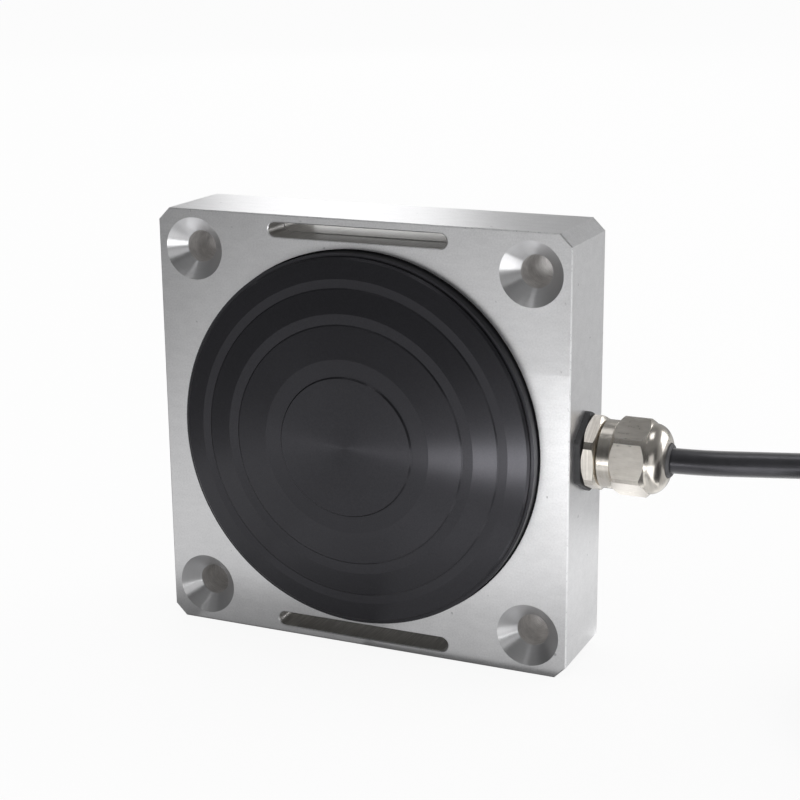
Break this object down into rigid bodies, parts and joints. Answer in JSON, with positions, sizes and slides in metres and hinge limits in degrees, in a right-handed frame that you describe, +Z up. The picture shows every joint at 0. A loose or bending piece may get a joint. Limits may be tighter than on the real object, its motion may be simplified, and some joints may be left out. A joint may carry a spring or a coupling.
{
  "type": "brake pedal force sensor",
  "caption": "Flat square load cell with a stepped round load plate in its face, countersunk corner holes, strap slots and a cable from a side gland, for brake pedal force.",
  "frame": {"origin": "centre of the narrow side that the block stands on", "axes": "+X along the front face towards the cable gland, +Y from the load plate to the back cover, +Z up"},
  "size_m": [0.2255, 0.057, 0.09],
  "materials": {
    "block_aluminium": "satin milled and lightly tumbled",
    "black_anodised": "turned and black anodised, satin",
    "spring_steel": "ground",
    "screw_steel": "plain stainless",
    "gauge_foil": "amber carrier film",
    "copper_wire": "tinned copper",
    "brass_pillar": "plain brass",
    "green_board": "solder mask",
    "resistor_ceramic": "coated chip",
    "cover_aluminium": "satin",
    "black_rubber": "matt",
    "grey_rubber": "matt dark grey",
    "nickel_plated_brass": "nickel plated, semi-bright",
    "claw_plastic": "moulded",
    "cable_sheath": "semi-gloss black sheath",
    "insulation_red": "core insulation",
    "insulation_white": "core insulation",
    "insulation_black": "core insulation",
    "insulation_green": "core insulation",
    "tie_nylon": "black nylon",
    "shrink_sleeve": "shrunk sleeve"
  },
  "bodies": {
    "root": {"housing_block": "block_aluminium", "load_plate": "black_anodised", "dust_ring": "black_rubber", "spring_element": "spring_steel", "element_screws": "screw_steel", "plate_screw": "screw_steel", "strain_gauges": "gauge_foil", "gauge_wires": "copper_wire", "board_pillars": "brass_pillar", "bridge_board": "green_board", "board_screws": "screw_steel", "trim_resistors": "resistor_ceramic", "cover_seal": "grey_rubber", "back_cover": "cover_aluminium", "cover_screws": "screw_steel", "gland_gasket": "grey_rubber", "gland_body": "nickel_plated_brass", "gland_claw": "claw_plastic", "gland_seal": "black_rubber", "gland_nut": "nickel_plated_brass", "cable_inner_end": "cable_sheath", "core_red": "insulation_red", "core_white": "insulation_white", "core_black": "insulation_black", "core_green": "insulation_green", "cable_run": "cable_sheath", "cable_hank": "cable_sheath", "hank_ties": "tie_nylon", "end_sleeve": "shrink_sleeve", "lead_red": "insulation_red", "lead_black": "insulation_black", "lead_screen": "copper_wire", "lead_green": "insulation_green", "lead_white": "insulation_white"}
  },
  "joints": []
}
